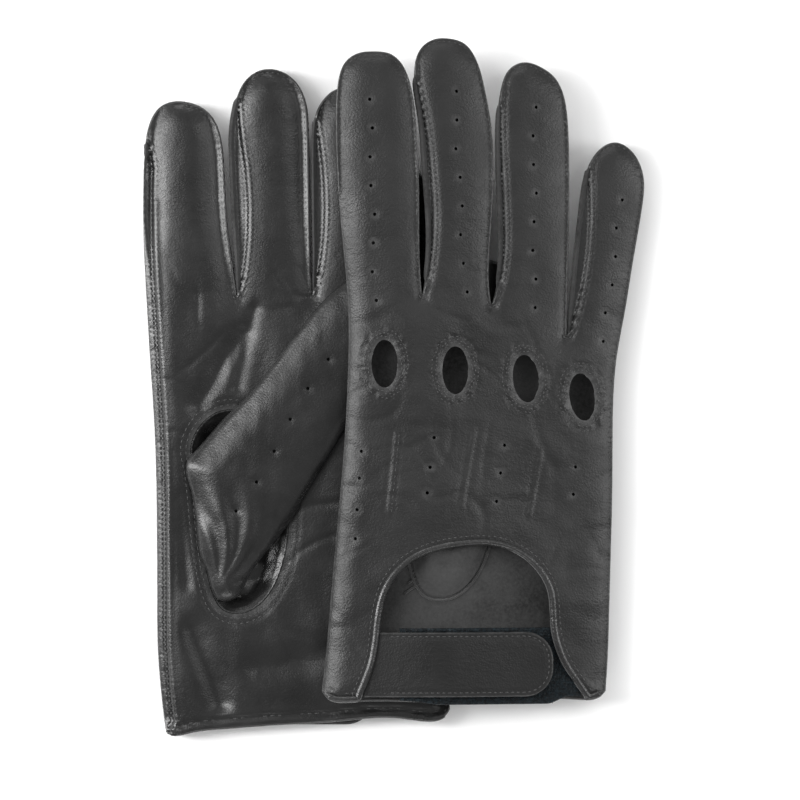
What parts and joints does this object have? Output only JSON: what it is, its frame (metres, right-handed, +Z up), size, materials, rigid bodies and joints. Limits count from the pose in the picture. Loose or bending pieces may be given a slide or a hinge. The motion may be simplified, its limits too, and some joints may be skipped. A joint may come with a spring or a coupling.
{
  "type": "pair of leather driving gloves",
  "caption": "Pair of unlined black leather driving gloves laid crossed, palm up under back up, with knuckle holes, perforated fingers, an open wrist and hook-and-loop straps.",
  "frame": {"origin": "centre of the bounding box in plan, on the surface the gloves lie on", "axes": "+Y toward the fingertips, +Z up from the table, +X toward the right glove"},
  "size_m": [0.1778, 0.2463, 0.0292],
  "materials": {
    "back_leather": "smooth fine-grained nappa, low sheen",
    "palm_leather": "smooth fine-grained nappa, slightly creased",
    "strip_leather": "smooth thin nappa",
    "binding_leather": "rolled thin leather",
    "loop_pile": "fuzzy looped pile tape",
    "hook_tape": "stiff nylon hooks"
  },
  "bodies": {
    "left_hand": {"left_back_panel": "back_leather", "left_fourchette_index_middle": "strip_leather", "left_fourchette_middle_ring": "strip_leather", "left_fourchette_ring_little": "strip_leather", "left_loop_tab": "loop_pile", "left_opening_binding": "binding_leather", "left_palm_hem": "palm_leather", "left_palm_panel": "palm_leather", "left_strap_anchor": "back_leather", "left_thumb_gusset": "palm_leather"},
    "left_index": {"left_index_back": "back_leather", "left_index_palm": "palm_leather", "left_index_strip_little_side": "strip_leather"},
    "left_middle": {"left_middle_back": "back_leather", "left_middle_palm": "palm_leather", "left_middle_strip_index_side": "strip_leather", "left_middle_strip_little_side": "strip_leather"},
    "left_ring": {"left_ring_back": "back_leather", "left_ring_palm": "palm_leather", "left_ring_strip_index_side": "strip_leather", "left_ring_strip_little_side": "strip_leather"},
    "left_little": {"left_little_back": "back_leather", "left_little_palm": "palm_leather", "left_little_strip_index_side": "strip_leather"},
    "left_thumb": {"left_thumb_outer": "palm_leather", "left_thumb_inner": "palm_leather"},
    "left_strap_flap": {"left_strap": "back_leather", "left_hook_patch": "hook_tape"},
    "right_hand": {"right_back_panel": "back_leather", "right_fourchette_index_middle": "strip_leather", "right_fourchette_middle_ring": "strip_leather", "right_fourchette_ring_little": "strip_leather", "right_loop_tab": "loop_pile", "right_opening_binding": "binding_leather", "right_palm_hem": "palm_leather", "right_palm_panel": "palm_leather", "right_strap_anchor": "back_leather", "right_thumb_gusset": "palm_leather"},
    "right_index": {"right_index_back": "back_leather", "right_index_palm": "palm_leather", "right_index_strip_little_side": "strip_leather"},
    "right_middle": {"right_middle_back": "back_leather", "right_middle_palm": "palm_leather", "right_middle_strip_index_side": "strip_leather", "right_middle_strip_little_side": "strip_leather"},
    "right_ring": {"right_ring_back": "back_leather", "right_ring_palm": "palm_leather", "right_ring_strip_index_side": "strip_leather", "right_ring_strip_little_side": "strip_leather"},
    "right_little": {"right_little_back": "back_leather", "right_little_palm": "palm_leather", "right_little_strip_index_side": "strip_leather"},
    "right_thumb": {"right_thumb_outer": "palm_leather", "right_thumb_inner": "palm_leather"},
    "right_strap_flap": {"right_strap": "back_leather", "right_hook_patch": "hook_tape"}
  },
  "joints": [
    {"name": "gloves_lift_apart", "type": "slide", "parent": "left_hand", "child": "right_hand", "axis": [0, 0, 1], "range_m": [0, 0.15]},
    {"name": "left_index_fold", "type": "hinge", "parent": "left_hand", "child": "left_index", "pos_m": [-0.074, 0.062, 0.0106], "axis": [0.9997, 0.0262, 0], "range_deg": [0, 90]},
    {"name": "left_middle_fold", "type": "hinge", "parent": "left_hand", "child": "left_middle", "pos_m": [-0.0433, 0.063, 0.0106], "axis": [0.9994, 0.0349, 0], "range_deg": [0, 90]},
    {"name": "left_ring_fold", "type": "hinge", "parent": "left_hand", "child": "left_ring", "pos_m": [-0.0174, 0.062, -0.0006], "axis": [1, 0.0087, 0], "range_deg": [-80, 0]},
    {"name": "left_little_fold", "type": "hinge", "parent": "left_hand", "child": "left_little", "pos_m": [0.0049, 0.052, -0.0006], "axis": [1, 0, 0], "range_deg": [-80, 0]},
    {"name": "right_index_fold", "type": "hinge", "parent": "right_hand", "child": "right_index", "pos_m": [-0.0053, 0.063, 0.0278], "axis": [0.9997, 0.0262, 0], "range_deg": [0, 90]},
    {"name": "right_middle_fold", "type": "hinge", "parent": "right_hand", "child": "right_middle", "pos_m": [0.023, 0.064, 0.0278], "axis": [0.9986, 0.0523, 0], "range_deg": [0, 90]},
    {"name": "right_ring_fold", "type": "hinge", "parent": "right_hand", "child": "right_ring", "pos_m": [0.0492, 0.059, 0.01936], "axis": [0.9781, 0, -0.2079], "range_deg": [0, 90]},
    {"name": "right_little_fold", "type": "hinge", "parent": "right_hand", "child": "right_little", "pos_m": [0.0746, 0.0445, 0.01396], "axis": [0.9701, -0.1277, -0.2062], "range_deg": [0, 90]},
    {"name": "left_thumb_swing", "type": "hinge", "parent": "left_hand", "child": "left_thumb", "pos_m": [-0.055, -0.048, 0.0104], "axis": [0, 0, 1], "range_deg": [0, 45]},
    {"name": "right_thumb_fold", "type": "hinge", "parent": "right_hand", "child": "right_thumb", "pos_m": [0.034, -0.0666, 0.01189], "axis": [0.9781, 0, -0.2079], "range_deg": [-60, 0]},
    {"name": "right_strap_open", "type": "hinge", "parent": "right_hand", "child": "right_strap_flap", "pos_m": [-0.00285, -0.0971, 0.0295], "axis": [0, -1, 0], "range_deg": [0, 150]},
    {"name": "left_strap_open", "type": "hinge", "parent": "left_hand", "child": "left_strap_flap", "pos_m": [-0.06185, -0.1081, -0.0003], "axis": [0, 1, 0], "range_deg": [0, 150]}
  ]
}
